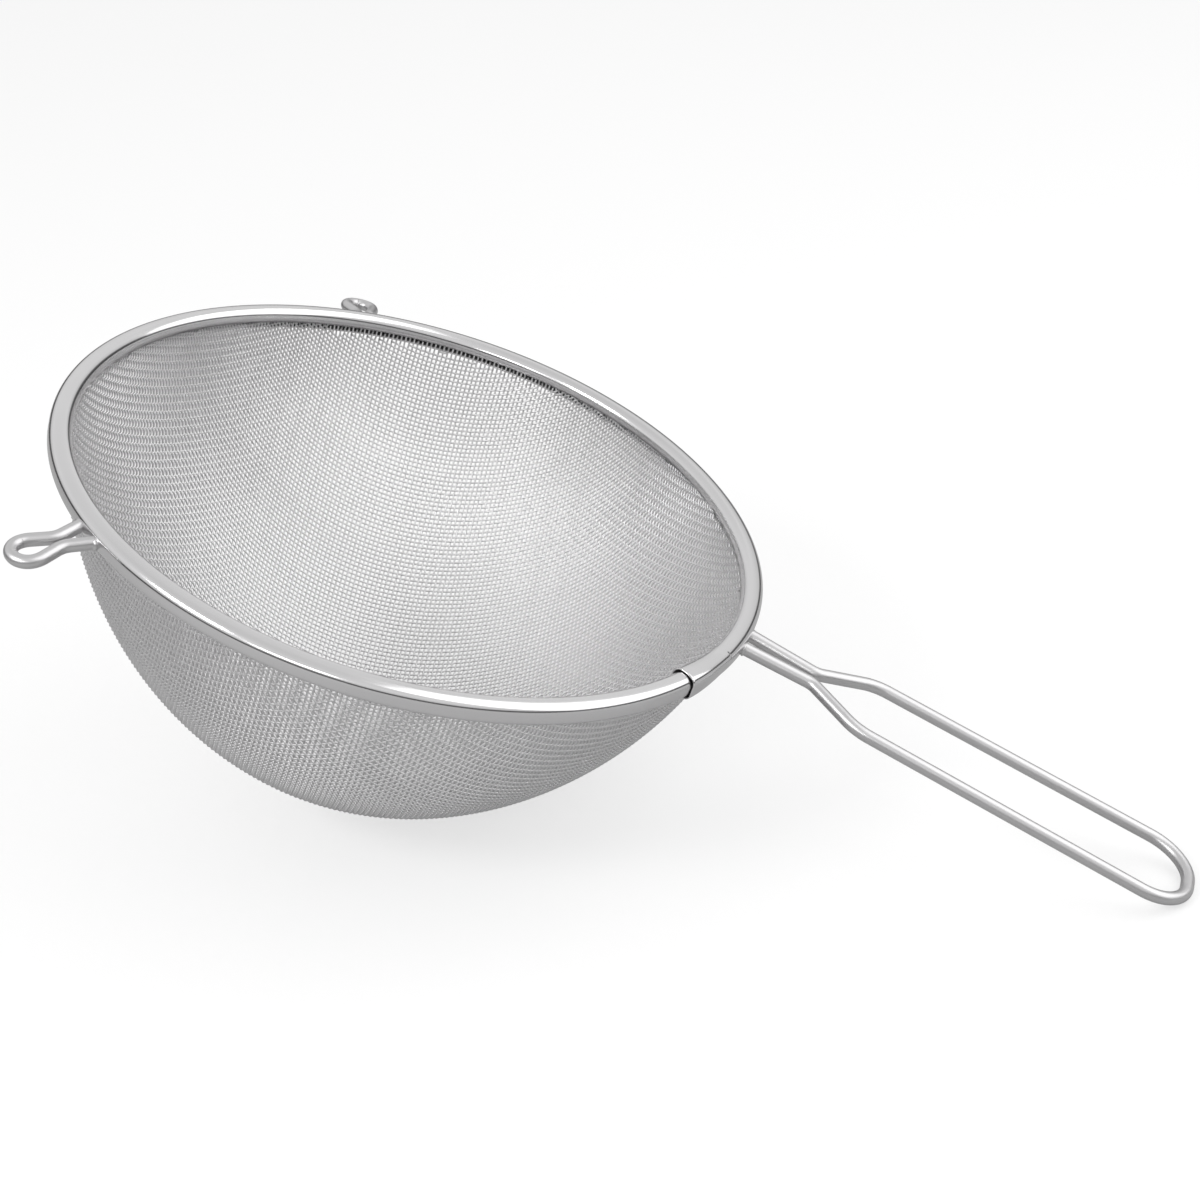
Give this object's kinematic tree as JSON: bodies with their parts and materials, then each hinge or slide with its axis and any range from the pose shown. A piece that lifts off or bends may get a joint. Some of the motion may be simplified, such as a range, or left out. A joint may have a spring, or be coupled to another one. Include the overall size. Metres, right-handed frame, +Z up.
{
  "type": "bowl strainer",
  "caption": "Round-bottomed strainer of woven stainless wire with a rolled sheet rim, a looped wire handle and wire rest hooks.",
  "frame": {"origin": "the point of the table under the strainer that the bottom of its bowl lies on", "axes": "+Z up from the table, +X horizontal towards the end of the handle, which lies on the table too"},
  "size_m": [0.3572, 0.2352, 0.1473],
  "materials": {
    "rim_sheet": "bright rolled stainless sheet",
    "hoop_wire": "plain drawn stainless wire",
    "mesh_wire": "woven fine stainless wire",
    "bright_wire": "bright drawn stainless wire"
  },
  "bodies": {
    "root": {"rim_band": "rim_sheet", "rim_hoop": "hoop_wire", "mesh_bowl": "mesh_wire", "handle_wire": "bright_wire", "rest_hook_near": "bright_wire", "rest_hook_far": "bright_wire"}
  },
  "joints": []
}
